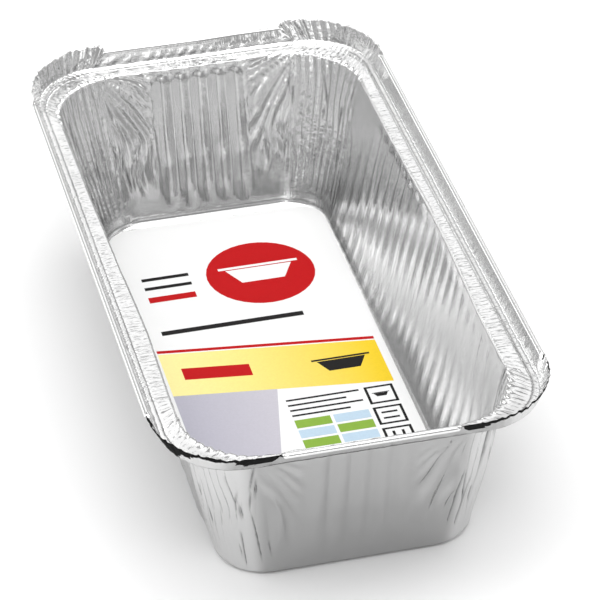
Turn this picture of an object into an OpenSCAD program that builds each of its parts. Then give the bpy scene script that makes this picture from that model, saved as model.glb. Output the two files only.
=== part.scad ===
// Foil food tray, pressed from one sheet of aluminium foil, with a printed card on its floor.
// The origin is at the middle of the underside, +Z is up and the long side runs along Y.

/* [Tray] */
// Outside length over the rim beads
tray_l = 222; // [214:1:300]
// Outside width over the rim beads
tray_w = 112; // [104:1:180]
// Height from the table to the top of the rim bead
tray_h = 55; // [40:1:75]
// Thickness of the foil
foil_t = 0.25; // [0.23:0.01:0.3]
// How far the foot of the wall lies inside the edge of the rim
foot_inset = 19; // [16:0.5:22]
// Corner radius at the foot of the wall
foot_r = 15; // [12:0.5:18]
// Corner radius at the top of the wall
wall_r = 22; // [18:0.5:23]
// How far the floor's panel is raised
panel_rise = 1; // [0.6:0.1:2]
// Width of the ring that the tray stands on
foot_ring_w = 3.2; // [2:0.2:5]

/* [Rim] */
// Width of the ledge that a lid would lie on
ledge_w = 5.6; // [5:0.2:7]
// Width of the lid seat, from the wall to the crease in the ledge
seat_w = 4; // [3:0.2:4.2]
// Step up at the crease
crease_h = 0.5; // [0.4:0.1:0.8]
// Height of the flange over the lid seat, with its bead
flange_h = 5.6; // [4.5:0.1:6.4]
// How far the flange leans out
flange_lean = 1.6; // [1:0.1:2.5]
// Corner radius at the foot of the flange
flange_r = 20; // [18:0.5:21]
// Outside diameter of the rolled bead
bead_d = 1.8; // [1.6:0.1:2.4]
// How far each end of a bead stops short of the corner's bend
bead_gap = 2.4; // [1.6:0.2:4]

/* [Flutes] */
// Number of flutes on each long side
long_flutes = 21; // [11:2:21]
// Spacing of the flutes on the long sides
long_pitch = 6.75; // [4:0.05:6.8]
// Number of flutes on each short side
short_flutes = 5; // [3:2:7]
// Spacing of the flutes on the short sides
short_pitch = 5.85; // [4:0.05:6]
// How far a flute stands out of the wall
flute_depth = 0.8; // [0.4:0.05:1]

/* [Gathered corners] */
// Number of pleats in each corner
pleats = 12; // [8:1:12]
// Depth of the pleats at the top of the wall
pleat_depth = 1; // [0.4:0.05:1.05]
// Depth of the pleats in the flange
flange_pleat_depth = 1.2; // [0.4:0.05:1.4]
// Height of the corner flange over the lid seat
corner_h = 7.4; // [6.6:0.1:9]
// How far the corner flange leans out
corner_lean = 2.4; // [2:0.1:3]
// Corner radius at the top edge of the corner flange
rim_r = 25.5; // [24:0.5:27]
// How uneven the cut edge of the corner flange is
ragged_h = 0.8; // [0:0.1:1]

/* [Card] */
// Width of the card
card_w = 70; // [56:1:70]
// Length of the card
card_l = 174; // [140:1:174]
// Thickness of the card
card_t = 0.3; // [0.2:0.05:0.5]
// Corner radius of the card
card_r = 8; // [6:0.5:10]
// Thickness of a layer of print
ink_t = 0.04; // [0.03:0.01:0.08]
// Diameter of the round emblem
emblem_d = 34; // [24:1:36]

/* [Hidden] */
$fn = 32;

// Half sizes of the rim
half_w = tray_w / 2;
half_l = tray_l / 2;
half_t = foil_t / 2;
// Levels of the lid seat and of the outer strip of the ledge
seat_z = tray_h - flange_h;
lip_z = seat_z + crease_h;
// Insets from the outside of the rim to the foot of the flange, the crease and the top of the wall
flange_inset = bead_d + flange_lean;
wall_inset = flange_inset + ledge_w;
crease_inset = wall_inset - seat_w;
// Rounding from the wall into the lid seat, and the run of the crease
shoulder = 0.6;
crease_run = 0.3;
// Rounding from the wall into the floor, which passes through this share of its inset and height
fillet = 2.4;
fillet_mid = [0.2, 0.35];
// Run of the slope at the edge of the raised panel
panel_slope = 1.4;
// Heights where the flutes start, reach their full depth, begin to fade and end under the rim
flute_low_z = 2.6;
flute_full_z = 6;
flute_fade_z = seat_z - 4;
flute_end_z = seat_z - 1.5;
// The bead is rolled through this angle, in this many flat facets
roll_angle = 300;
roll_facets = 5;
bead_r = bead_d / 2;
bead_z = tray_h - bead_r;
// The rolled strip is this long, and in the corners it is unrolled and part of the flange
roll_l = (bead_r - half_t) * roll_angle * PI / 180;
spare_l = 2.8;
flange_tilt = atan2(flange_lean, bead_z - lip_z);
// Facets in each floor corner, in each pleat and in each flute, and steps in which a bead unrolls
floor_facets = 8;
pleat_facets = 2;
flute_facets = 4;
unroll_steps = 3;
corner_facets = pleats * pleat_facets;

// Uneven values between 0 and 1 that are the same every time
function uneven(i) = let (x = sin(i * 78.233 + 12.99) * 437.585) x - floor(x);

// Inset and corner radius of the leaning wall at a height
function wall_share(z) = (z - flute_low_z) / (seat_z - flute_low_z);
function wall_inset_at(z) = foot_inset + (wall_inset - foot_inset) * wall_share(z);
function wall_r_at(z) = foot_r + (wall_r - foot_r) * wall_share(z);

// The section of the sheet's middle surface, from the floor panel to the foot of the flange.
// Each point is [inset from the rim, height, corner radius, share of the flutes, share of the pleats]
ring_inset = foot_inset + fillet;
panel_inset = ring_inset + foot_ring_w;
floor_section = [
    [panel_inset + panel_slope, panel_rise + half_t, foot_r - 7, 0, 0],
    [panel_inset, half_t, foot_r - 6, 0, 0],
    [ring_inset, half_t, foot_r - 2.4, 0, 0],
    [foot_inset + fillet * fillet_mid[0], fillet * fillet_mid[1], foot_r - 0.4, 0, 0]
];
wall_section = [
    for (p = [[flute_low_z, 0, 0], [flute_full_z, 1, 0.3], [flute_fade_z, 1, 1], [flute_end_z, 0, 0.9]])
        [wall_inset_at(p[0]), p[0], wall_r_at(p[0]), p[1], p[2]]
];
ledge_section = [
    [wall_inset, seat_z - shoulder, wall_r, 0, 0.5],
    [wall_inset - shoulder, seat_z, wall_r, 0, 0.3],
    [crease_inset, seat_z, wall_r - 1, 0, 0.3],
    [crease_inset - crease_run, lip_z, wall_r - 1.2, 0, 0.3],
    [flange_inset, lip_z, flange_r, 0, 0.6]
];
section = concat(floor_section, wall_section, ledge_section);

// The unit normal of the step from one section point to the next, towards the inside of the tray
function step_normal(a, b) = let (d = [b[0] - a[0], b[1] - a[1]]) [d[1], -d[0]] / norm(d);
flange_normal = step_normal([flange_inset, lip_z], [bead_d - half_t, bead_z]);

// Each section point moved square to the sheet, mitred between its two steps
function skin(side) = [
    for (i = [0:len(section) - 1]) let (
        p = section[i],
        before = i == 0 ? [0, 1] : step_normal(section[i - 1], p),
        after = i == len(section) - 1 ? flange_normal : step_normal(p, section[i + 1]),
        move = side * half_t / (1 + before * after) * (before + after)
    ) [p[0] + move[0], p[1] + move[1], p[2], p[3], p[4]]
];

// The rings of points round the tray: up the inside, over the edge and down the outside.
// In the rolled strip a ring is [share of the strip, side of the sheet]
strip_up = [for (i = [0:roll_facets]) [i / roll_facets, 1]];
strip_down = [for (i = [0:roll_facets]) [1 - i / roll_facets, -1]];
inside = skin(1);
outside = skin(-1);
rings = concat(inside, strip_up, strip_down, [for (i = [len(outside) - 1:-1:0]) outside[i]]);
function is_strip(ring) = len(ring) == 2;

// Point of the rolled strip where the bead is rolled by this share of its turn
function rolled_point(ring, rolled) = let (
    tilt = (1 - rolled) * flange_tilt,
    turned = tilt + ring[0] * rolled * roll_angle,
    start = rolled * (bead_d - half_t) + (1 - rolled) * (flange_inset - corner_lean / (roll_facets + 1)),
    radius = (rolled * roll_l + (1 - rolled) * spare_l) / (rolled * roll_angle * PI / 180)
) [
    start - radius * (cos(tilt) - cos(turned)) + ring[1] * half_t * cos(turned),
    bead_z + radius * (sin(turned) - sin(tilt)) + ring[1] * half_t * sin(turned)
];

// Share of the corner flange's height at which a ring of the strip passes
function flange_share(ring) = (ring[0] * roll_facets + 1) / (roll_facets + 1);

// The rings fall into three groups by how finely they are divided
floor_rings = len(floor_section);
wall_rings = len(wall_section);
rim_rings = len(rings) - 2 * (floor_rings + wall_rings);
groups = concat(
    [for (i = [1:floor_rings]) 0], [for (i = [1:wall_rings]) 1], [for (i = [1:rim_rings]) 2],
    [for (i = [1:wall_rings]) 1], [for (i = [1:floor_rings]) 0]
);

// Columns of a ring, as [side or corner, place on it, number].
// Sides are 0, 2, 4 and 6 from +X round to -Y, and corners are 1, 3, 5 and 7
function is_corner(q) = q % 2 == 1;
function is_long(q) = q % 4 == 0;
function flute_columns(q) = let (
    steps = (is_long(q) ? long_flutes : short_flutes) * flute_facets,
    pitch = is_long(q) ? long_pitch : short_pitch
) [for (i = [0:steps]) [q, (i - steps / 2) * pitch / flute_facets, i % flute_facets]];
function bead_columns(q) = concat(
    [for (i = [1:unroll_steps]) [q, -1, i]], [for (i = [unroll_steps:-1:1]) [q, 1, i]]
);
function corner_columns(q, facets) = [for (i = [0:facets]) [q, i / facets, i]];
function columns(group) = [
    for (q = [0:7], c = is_corner(q) ? corner_columns(q, group == 0 ? floor_facets : corner_facets)
        : group == 0 ? [] : group == 1 ? flute_columns(q) : bead_columns(q)) c
];
column_sets = [for (group = [0:2]) columns(group)];

// A rounded bump across each flute, from 0 at its edges to 1 in its middle
flute_shape = [0, 0.72, 1, 0.72];

// Pleats turn in and out by turns, each to a depth of its own, and die out at the ends of the bend
function pleat_shape(q, i, seed) =
    i == 0 || i == corner_facets ? 0
    : (i % pleat_facets == 0 ? -0.5 : 0.5) * (0.45 + 0.55 * uneven(i + 31 * q + seed));

// A rounded rectangle's own values at a ring and a column:
// [inset, height, corner radius, bulge, distance from the outline's end to the start of the bend]
function wall_values(ring, c, group) = let (
    bulge = is_corner(c[0])
        ? (group == 0 ? 0 : pleat_depth * ring[4] * pleat_shape(c[0], c[2], ring[1] > seat_z / 2 ? 0 : 53))
        : (group == 1 ? flute_depth * ring[3] * flute_shape[c[2]] : 0)
) [ring[0], ring[1], ring[2], bulge, ring[0] + ring[2]];
function strip_values(ring, c) = let (
    share = flange_share(ring),
    edge = ragged_h * (uneven(3 * c[2] + 17 * c[0]) - 0.5) * share,
    rolled = rolled_point(ring, min(1, c[2] / unroll_steps))
) is_corner(c[0])
    ? [
        flange_inset - share * corner_lean + ring[1] * half_t,
        lip_z + share * (seat_z + corner_h - lip_z) + edge,
        flange_r + share * (rim_r - flange_r),
        flange_pleat_depth * (0.5 + 0.5 * share) * pleat_shape(c[0], c[2], 7)
    ]
    : [rolled[0], rolled[1], rim_r, 0, flange_inset - corner_lean + rim_r];

// The point of a ring at a column
function turn_quarter(p, n) = [p, [-p[1], p[0]], -p, [p[1], -p[0]]][n];
function ring_point(ring, c, group) = let (
    v = is_strip(ring) ? strip_values(ring, c) : wall_values(ring, c, group),
    quarter = floor(c[0] / 2),
    across = (quarter % 2 == 0 ? half_w : half_l) - v[0],
    half_side = quarter % 2 == 0 ? half_l : half_w,
    along = half_side - v[0],
    bend = v[2] + v[3],
    flat = is_corner(c[0])
        ? [across - v[2] + bend * cos(90 * c[1]), along - v[2] + bend * sin(90 * c[1])]
        : [across + v[3], group == 1 ? c[1] : c[1] * (half_side - v[4] - bead_gap * c[2] / unroll_steps)],
    turned = turn_quarter(flat, quarter)
) [turned[0], turned[1], v[1]];
tray_points = [for (i = [0:len(rings) - 1], c = column_sets[groups[i]]) ring_point(rings[i], c, groups[i])];
ring_starts = [for (i = 0, n = 0; i < len(rings); n = n + len(column_sets[groups[i]]), i = i + 1) n];

// How far round the tray a column lies, for joining two rings that are divided differently
function way_round(c, group) = c[0] + (is_corner(c[0]) ? c[1]
    : group == 1 ? 0.5 + c[1] / (is_long(c[0]) ? tray_l : tray_w)
    : 0.5 + c[1] * (0.49 - 0.01 * c[2]));
ways = [for (group = [0:2]) [for (c = column_sets[group]) way_round(c, group)]];

// Faces between two rings with the same columns. On the way down the outside the quads are split
// along the other diagonal, so that both sides of the sheet are split alike, and the two halves of
// a side mirror each other
function even_band(a, b, set, down) = [
    for (n = len(set), i = [0:n - 1], half = [0, 1]) let (
        j = (i + 1) % n,
        mirrored = set[j][1] < 0,
        quad = down == mirrored ? [a + i, a + j, b + j, b + i] : [b + i, a + i, a + j, b + j]
    ) half == 0 ? [quad[0], quad[1], quad[2]] : [quad[0], quad[2], quad[3]]
];

// Faces between two rings with different columns: each edge meets the last point passed on the other
function passed(way, limit, with_limit) =
    len([
        for (i = [1:len(way)]) let (w = i == len(way) ? 8 : way[i])
            if (w < limit || (with_limit && w == limit)) 1
    ]);
function uneven_band(a, b, way_a, way_b) = let (na = len(way_a), nb = len(way_b)) concat(
    [for (i = [0:na - 1]) [
        a + i, a + (i + 1) % na, b + passed(way_b, i == na - 1 ? 8 : way_a[i + 1], false) % nb
    ]],
    [for (i = [0:nb - 1]) [
        a + passed(way_a, i == nb - 1 ? 8 : way_b[i + 1], true) % na, b + (i + 1) % nb, b + i
    ]]
);
function band(i) = let (a = groups[i], b = groups[i + 1])
    a == b ? even_band(ring_starts[i], ring_starts[i + 1], column_sets[a], i > last_ring / 2)
    : uneven_band(ring_starts[i], ring_starts[i + 1], ways[a], ways[b]);

// Flat faces over the first ring, seen from above, and over the last, seen from below
function cap(start, n, above) = [
    for (i = [1:n - 2]) above ? [start, start + i + 1, start + i] : [start, start + i, start + i + 1]
];

last_ring = len(rings) - 1;
tray_faces = concat(
    [for (i = [0:last_ring - 1], face = band(i)) face],
    cap(0, len(ways[0]), true),
    cap(ring_starts[last_ring], len(ways[0]), false)
);

module foil_tray() {
    color("silver") polyhedron(points = tray_points, faces = tray_faces);
}

// The card lies on the raised panel, and the print lies on the card inside a bare border
card_z = panel_rise + foil_t;
print_z = card_z + card_t;
border = 2.5;
field_w = card_w - 2 * border;
field_edge = field_w / 2;
// The yellow band falls towards the right, with a thin stripe over it.
// A pill is cut out of its left part and a sign out of its right part
band_y = 2;
band_h = 22;
band_fall = 9;
band_low = band_y - band_fall / 2 - band_h / 2;
stripe_h = 1.4;
stripe_gap = 0.6;
pill_x = -0.42 * field_w;
pill_w = 0.31 * field_w;
pill_h = 6;
band_sign_x = 0.31 * field_w;
band_sign_w = 0.23 * field_w;
// Round emblem, the bars beside it and the long bar under it
emblem_at = [0.12 * field_w, 0.305 * card_l];
emblem_sign_w = 0.62 * emblem_d;
emblem_facets = 36;
side_x = -field_edge + 3.5;
side_w = emblem_at[0] - emblem_d / 2 - side_x - 5;
side_bar_h = 1.6;
side_bar_rises = [-1, 4];
side_red_h = 3;
side_red_drop = 8;
long_bar_y = 0.155 * card_l;
long_bar_w = 0.68 * field_w;
long_bar_h = 2.2;
// The lilac field fills the left side under the band, and its right edge slants
lilac_top_x = -0.03 * field_w;
lilac_foot_x = -0.21 * field_w;
lilac_foot_y = -0.38 * card_l;
// Foot stripe across the card
foot_y = -0.46 * card_l;
foot_w = 0.77 * field_w;
foot_h = 8;
// Thin bars, and two columns of cells, under the right part of the band
block_x = -0.015 * field_w;
block_y = band_low - 1.5;
block_w = 0.34 * field_w;
block_bars = 4;
block_pitch = 2.6;
line_w = 0.8;
cell_y = band_low - 16;
cell_size = [0.165 * field_w, 4];
cell_pitch = [0.18 * field_w, 5];
cell_rows = 3;
// A column of frames with small signs at the right edge
frame_w = 0.135 * field_w;
frame_x = field_edge - 1 - frame_w / 2;
frame_y = band_low - 1.2 - frame_w / 2;
frame_pitch = 1.2 * frame_w;
sign_bar_l = 0.55 * frame_w;
sign_bar_gap = 0.16 * frame_w;

module rounded_rectangle(w, l, r) {
    square([w - 2 * r, l], center = true);
    square([w, l - 2 * r], center = true);
    for (x = [-1, 1], y = [-1, 1])
        translate([x * (w / 2 - r), y * (l / 2 - r)]) circle(r);
}

// A layer of one colour of print
module ink() {
    translate([0, 0, print_z]) linear_extrude(height = ink_t) children();
}

// Height of the band's middle line at a place across the card
function band_line(x) = band_y - band_fall * x / field_w;

// A strip along the band, between two places across the card and two distances from the band's middle line
module slanted_strip(left, right, low, high) {
    polygon([
        [left, band_line(left) + low], [right, band_line(right) + low],
        [right, band_line(right) + high], [left, band_line(left) + high]
    ]);
}

// A bar of even height that starts at the given place
module bar(x, y, w, h) {
    translate([x, y]) square([w, h]);
}

// Side view of an open tray with its rim, w wide at the top of its walls
module tray_sign(w) {
    polygon([[-w / 2, w * 0.16], [-w * 0.32, -w * 0.2], [w * 0.32, -w * 0.2], [w / 2, w * 0.16]]);
    translate([0, w * 0.21]) square([w * 1.2, w * 0.06], center = true);
}

// Round plate of the emblem, with few facets
module emblem_plate() {
    polygon([
        for (i = [0:emblem_facets - 1]) let (turn = 360 * i / emblem_facets)
            emblem_d / 2 * [cos(turn), sin(turn)]
    ]);
}

// The column of frames: each child stands in the next frame
module framed_signs() {
    for (i = [0:$children - 1]) translate([frame_x, frame_y - i * frame_pitch]) {
        difference() {
            square(frame_w, center = true);
            square(frame_w - 2 * line_w, center = true);
        }
        children(i);
    }
}

module cells(odd) {
    for (column = [0, 1], row = [0:cell_rows - 1])
        if ((column + row) % 2 == odd)
            bar(block_x + column * cell_pitch[0], cell_y - row * cell_pitch[1], cell_size[0], cell_size[1]);
}

// Marks that are cut out of the yellow band
module pill() {
    slanted_strip(pill_x, pill_x + pill_w, -pill_h / 2, pill_h / 2);
}
module band_sign() {
    translate([band_sign_x, band_line(band_sign_x)]) tray_sign(band_sign_w);
}

module label_card() {
    color("white") translate([0, 0, card_z])
        linear_extrude(height = card_t) rounded_rectangle(card_w, card_l, card_r);
}

module print_lilac() {
    color("lavender") ink() polygon([
        [-field_edge, lilac_foot_y], [lilac_foot_x, lilac_foot_y],
        [lilac_top_x, band_line(lilac_top_x) - band_h / 2],
        [-field_edge, band_line(-field_edge) - band_h / 2]
    ]);
}

module print_yellow() {
    color("gold") ink() difference() {
        slanted_strip(-field_edge, field_edge, -band_h / 2, band_h / 2);
        pill();
        band_sign();
    }
}

module print_red() {
    color("crimson") ink() {
        translate(emblem_at) difference() {
            emblem_plate();
            tray_sign(emblem_sign_w);
        }
        slanted_strip(-field_edge, field_edge, band_h / 2 + stripe_gap, band_h / 2 + stripe_gap + stripe_h);
        pill();
        bar(side_x, emblem_at[1] - side_red_drop, side_w, side_red_h);
        bar(-foot_w / 2, foot_y, foot_w, foot_h);
    }
}

module print_green() {
    color("yellowgreen") ink() cells(0);
}

module print_blue() {
    color("lightblue") ink() cells(1);
}

module print_dark() {
    color("dimgray") ink() {
        band_sign();
        framed_signs() {
            tray_sign(frame_w / 2);
            for (i = [-1, 1]) translate([0, i * sign_bar_gap]) square([sign_bar_l, line_w], center = true);
            for (i = [-1, 1]) translate([i * sign_bar_gap, 0]) square([line_w, sign_bar_l], center = true);
        }
        for (i = [0:block_bars - 1])
            bar(block_x, block_y - i * block_pitch - line_w, (i % 2 == 0 ? 1 : 0.8) * block_w, line_w);
        for (rise = side_bar_rises) bar(side_x, emblem_at[1] + rise, side_w, side_bar_h);
        bar(side_x, long_bar_y, long_bar_w, long_bar_h);
    }
}

foil_tray();
label_card();
print_lilac();
print_yellow();
print_red();
print_green();
print_blue();
print_dark();
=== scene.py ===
"""Looks of the foil tray: the fine mesh of its sheet, all finishes, the floor, the light and the camera."""

import math

import bpy
import numpy as np
from mathutils import Matrix, Vector

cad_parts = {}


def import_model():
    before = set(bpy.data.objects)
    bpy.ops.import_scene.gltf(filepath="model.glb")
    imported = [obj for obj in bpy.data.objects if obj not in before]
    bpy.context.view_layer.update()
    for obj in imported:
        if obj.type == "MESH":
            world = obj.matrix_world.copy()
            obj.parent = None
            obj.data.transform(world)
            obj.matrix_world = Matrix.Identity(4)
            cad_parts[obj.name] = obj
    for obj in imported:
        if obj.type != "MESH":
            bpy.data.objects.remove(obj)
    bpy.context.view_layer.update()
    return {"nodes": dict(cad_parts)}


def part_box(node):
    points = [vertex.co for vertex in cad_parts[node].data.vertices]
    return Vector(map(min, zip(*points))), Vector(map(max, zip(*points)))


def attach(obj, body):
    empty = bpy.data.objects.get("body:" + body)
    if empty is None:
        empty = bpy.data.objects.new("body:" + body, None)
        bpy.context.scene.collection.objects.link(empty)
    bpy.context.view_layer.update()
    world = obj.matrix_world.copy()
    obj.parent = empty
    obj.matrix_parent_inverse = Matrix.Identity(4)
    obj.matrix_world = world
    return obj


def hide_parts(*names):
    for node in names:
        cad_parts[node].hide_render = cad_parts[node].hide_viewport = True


MM = 0.001

# Sides and corners are numbered round the tray: sides 0 right, 2 far, 4 left and 6 near, and the corners
# between them
NEAR_CORNERS = (5, 7)

# Thickness of the foil here and in the solid, in millimetres
FOIL_T = 0.16
SOLID_T = 0.25

# Section of the sheet's middle surface, in millimetres, as in the part's source
FOOT_INSET = 19.0
FOOT_R = 15.0
WALL_R = 22.0
PANEL_RISE = 1.0
FOOT_RING_W = 3.2
PANEL_SLOPE = 1.4
FILLET = 2.4
TRAY_H = 55.0
LEDGE_W = 5.6
SEAT_W = 4.0
CREASE_H = 0.5
CREASE_RUN = 0.3
SHOULDER = 0.6
FLANGE_H = 5.6
FLANGE_LEAN = 1.6
FLANGE_R = 20.0
BEAD_D = 1.8
CORNER_H = 7.4
CORNER_LEAN = 2.4
RIM_R = 25.5
FLUTE_LOW_Z = 2.6
ROLL_ANGLE = math.radians(300)

# How much tighter the corners of the floor panel's two rings and of the ledge's two crease lines are
PANEL_TIGHTER = (7.0, 6.0)
CREASE_TIGHTER = (1.0, 1.2)

# Levels and insets that follow from them
MID_Z = SOLID_T / 2
SEAT_Z = TRAY_H - FLANGE_H
LIP_Z = SEAT_Z + CREASE_H
FLANGE_INSET = BEAD_D + FLANGE_LEAN
WALL_INSET = FLANGE_INSET + LEDGE_W
CREASE_INSET = WALL_INSET - SEAT_W
BEAD_R = BEAD_D / 2
BEAD_Z = TRAY_H - BEAD_R
STRIP_INSET = BEAD_D - MID_Z
ROLL_L = (BEAD_R - MID_Z) * ROLL_ANGLE
FLANGE_TILT = math.atan2(FLANGE_LEAN, BEAD_Z - LIP_Z)

# Where the bead unrolls into a corner: length and inset of the strip there, the least share of the
# roll, and the distances from the corner's bend over which it unrolls
SPARE_L = 2.8
SPARE_INSET = FLANGE_INSET - CORNER_LEAN / 6
LEAST_ROLL = 0.02
UNROLL = (0.5, 2.2)

# Rim at the near end: height and lean of its corners, how uneven their cut edge is against the far
# ones, where the bead unrolls, and the shares of the roll on the near side and on the long sides below
# which its end is open
NEAR_H = 5.6
NEAR_LEAN = 3.0
NEAR_RAGGED = 0.45
NEAR_UNROLL = (4.6, 6.4)
OPEN_BELOW = {"near": 0.7, "long": 0.5}

# Flutes: count and pitch on the long and the short sides, depth, and columns of points across each
FLUTES = {"long": (21, 6.75), "short": (5, 5.85)}
FLUTE_DEPTH = 0.85
FLUTE_COLUMNS = {"long": 6, "short": 8}
# Heights between which they rise at the foot and fade under the ledge, how much higher up single ones
# may be full, and the share of the depth that stays under the ledge
FLUTE_FADE = (2.6, 6.0, SEAT_Z - 4.2, SEAT_Z - 0.6)
LATE_START = 3.0
FLUTE_KEPT = {"long": 0.12, "short": 0.35}
# How much single depths differ, and how round the valleys between the flutes are
OWN_DEPTH = {"long": 0.3, "short": 0.12}
CUSP = 0.1
# Short sides: shares of the depth below, between and above two steps, their heights, and how much these
# differ
STEP_SHARES = (0.35, 0.3, 0.35)
SHORT_STEPS = ((7.5, 12.0), (17.0, 23.0))
STEP_SPREAD = 2.4
# Long sides: share of the depth that is lost at the back, and in front of the middle in the upper half
FAINT_SHARE = 0.6
FAINT_FLUTES = (46.0, 66.0)
CALM_SHARE = 0.55
CALM_Z = (16.0, 34.0)
CALM_FRONT = (5.0, 35.0)
# Wavy dents right under the ledge of the short sides: how far below it, wave, half height and depth
TOP_MARKS = (2.3, 0.6, 0.55, 0.22)

# Corners: pleats, unevenness of the cut edge, and columns of points round the bend and next to it
PLEATS = 12
RAGGED_H = 0.8
FACET_COLUMNS = 4
CORNER_FACETS = 2 * PLEATS
EASE_COLUMNS = {"long": 11, "short": 15}
EASE_POWER = 1.7

# Heights over which folds and dents begin above the foot
FOLDS_BEGIN = (3.0, 9.0)
# Close folds of the wall: pitches of the wide and the fine ones, lengths over which they change, depths
# low down and what is added higher up, heights over which it is added, and distances from the corner's
# middle over which the folds fade
PLEAT_PITCH = (1.35, 0.62)
PLEAT_LENGTH = (13.0, 7.0)
PLEAT_DEPTH = ((0.1, 0.36), (0.03, 0.11))
PLEAT_RISE = ((3.0, 30.0), (20.0, 44.0))
PLEAT_REACH = {"long": (13.0, 20.0), "short": (7.0, 13.0)}
# Creases that fan out of a corner: distance from its middle and height where they start, folds in each
# degree, how many times more of them the wide and the fine ones are, lengths over which these change,
# heights over which they begin, depth, and the way from the start at which they are deepest
FAN_START = (9.0, SEAT_Z + 2.0)
FAN_FOLDS = 0.085
FAN_TIMES = (2, 5)
FAN_LENGTH = (14.0, 8.0)
FAN_BEGIN = (7.0, 20.0)
FAN_DEPTH = {"long": 0.3, "short": 0.8}
FAN_FULL = 30.0
# Folds of the corner flanges: pitches and depths; wrinkles at the flange's root along the sides: pitch
# and depth
FLANGE_PITCH = (1.15, 0.55)
FLANGE_DEPTH = (0.45, 0.2)
ROOT_WRINKLES = (1.7, 0.24)
# Wrinkles of the ledge: pitch in the corners, distances from a corner's middle over which they fade,
# their depth, and the depth of the blotches
LEDGE_PITCH = 0.8
LEDGE_REACH = (14.0, 21.0)
LEDGE_DEPTH = (0.11, 0.05)
# Depths of the wide and the close dents in the walls
DENT_DEPTH = (0.16, 0.05)
# Seeds of the noises and of the short creases
SEEDS = {"dents": (11, 12), "pleats": 21, "fans": 23, "flange": 31, "ledge": (41, 42), "creases": 61}
# Share of the folds of flange and ledge at the near corners
NEAR_CALM = 0.5

# Thin creases: half width and depth, number of short ones in a corner, and the long ones of the near
# corners as (corner, place from its middle, lower end, upper end, slant)
CREASE_HALF_W = 0.5
CREASE_DEPTH = 0.5
SHORT_CREASES = 9
LONG_CREASES = (
    (5, 4.0, 3.0, 18.0, 0.02),
    (5, 9.0, 6.0, 26.0, -0.08),
    (5, -7.0, 16.0, 24.0, 0.0),
    (7, -10.0, 9.0, 30.0, 0.1),
    (7, -6.5, 7.0, 33.0, 0.08),
    (7, -2.5, 12.0, 36.0, 0.06),
)

# How far the ledge's inner edge wanders outwards, on the right and the left side: (place along the
# side, shift), and the height from which the wall goes with it
EDGE_WANDER = {
    0: ((-85, -1.2), (-54, -1.0), (-23, 0.2), (4, 0.6), (44, 0.0), (80, 0.0)),
    4: ((-86, 0.6), (-37, 0.2), (4, -0.7), (39, -1.6), (80, -0.8)),
}
WANDER_Z = 14.0
# How far the far rim bows inwards: (place along the side, shift), and its share and rise over the
# flange
FAR_BOW = ((-30, 0.0), (-14, 1.4), (-2, 2.6), (12, 2.4), (28, 1.2), (36, 0.0))
BOW_SHARE = 0.8
BOW_RISE = 0.7

# Painted shade at the cut edge of the two near corners, in dark stretches: start and end in shares of the
# bend, first and last band from the edge down the outer skin, where bands below 0 lie on the inner skin
DARK_EDGE = {
    5: (
        (0.0, 0.03, -5, 6),
        (0.03, 0.1, -2, 4),
        (0.1, 0.18, -2, 9),
        (0.18, 0.36, -1, 12),
        (0.36, 0.4, 0, 9),
        (0.4, 0.5, 0, 7),
        (0.5, 0.84, 1, 4),
        (0.84, 0.9, 1, 7),
        (0.9, 1.0, 0, 8),
    ),
    7: ((0.0, 0.05, 0, 6), (0.05, 0.12, 0, 4), (0.12, 0.5, 0, 3), (0.5, 0.8, 0, 4), (0.8, 0.92, -1, 3)),
}
# Where a stretch is one band wider: steps in the bend, and the uneven value above which a step is wider
EDGE_WIDER = (34, 0.72)
# Dark bands of painted shade at the bead's open ends, on the near side and on the left and the right side
OPEN_END_BANDS = {6: (0, 8), 4: (-8, 8), 0: (-3, 2)}

# Rings of points in each stretch of the section, the ring half-way up the wall, and how the wall's
# rings crowd towards its top
PANEL_RINGS = 3
FILLET_RINGS = 4
WALL_RINGS = 30
SHOULDER_RINGS = 3
SEAT_RINGS = 4
LIP_RINGS = 2
FLANGE_RINGS = 5
ROLL_RINGS = 7
MID_RING = PANEL_RINGS + FILLET_RINGS + WALL_RINGS // 2
WALL_CROWDING = 1.35
# Column on a long side where lengths along the section are measured
LENGTH_COLUMN = 40

# Tints: bright inner skin; dull outer skin, partly the foil's duller side and partly painted shade;
# outer skin where it is gathered, with less of that painted shade; painted shade on the inner skin;
# and painted shade in the creases, with its share of that tint
BRIGHT_TINT = (0.83, 0.83, 0.83)
DULL_AND_SHADE_TINT = (0.43, 0.43, 0.43)
GATHERED_TINT = (0.66, 0.66, 0.66)
PAINTED_SHADE_TINT = (0.4, 0.4, 0.4)
CREASE_SHADE_TINT = (0.1, 0.1, 0.1)
CREASE_SHADE_SHARE = 0.8
# Painted shade at the foot of the inner skin: heights between which it ends, least height and spread of
# its scallops along the long sides, more height in front as (height, places between which it ends), and
# the share that is missing on the short sides
PAINTED_SHADE = (5.0, 12.0)
LONG_SCALLOP = (3.5, 5.0)
PAINTED_SHADE_MORE = (6.0, -20.0, 24.0)
PAINTED_SHADE_LESS = 0.9
# Steps of painted shade on the short sides, darker lower down: height of their scallops, and each step
# as (height, share)
SHORT_SCALLOP = 4.0
SHORT_TONES = ((22.0, 0.16), (11.0, 0.22))
# Stretches of painted shade at the front and the back end of the right wall: places, heights over which
# they fade, share; the share that is missing in the lighter streaks along the flutes there, and how
# narrow the streaks are
FRONT_TONE = ((-80.0, -45.0), (26.0, 50.0), 0.6)
BACK_TONE = ((38.0, 54.0, 78.0, 86.0), (8.0, 24.0), 0.45)
STREAK = (0.8, 6)
# Painted shade: dark line in the ledge's crease along the long sides, and darker ledge of the short
# sides
SEAT_LINE = 0.35
SEAT_SHORT = 0.5
# Distances from a corner's middle over which the foil stops being gathered, and the share of the drawn
# lines that is missing on the short sides
GATHERED = {"long": (14.0, 22.0), "short": (6.0, 12.0)}
BRUSHED_LESS = 0.65
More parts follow.
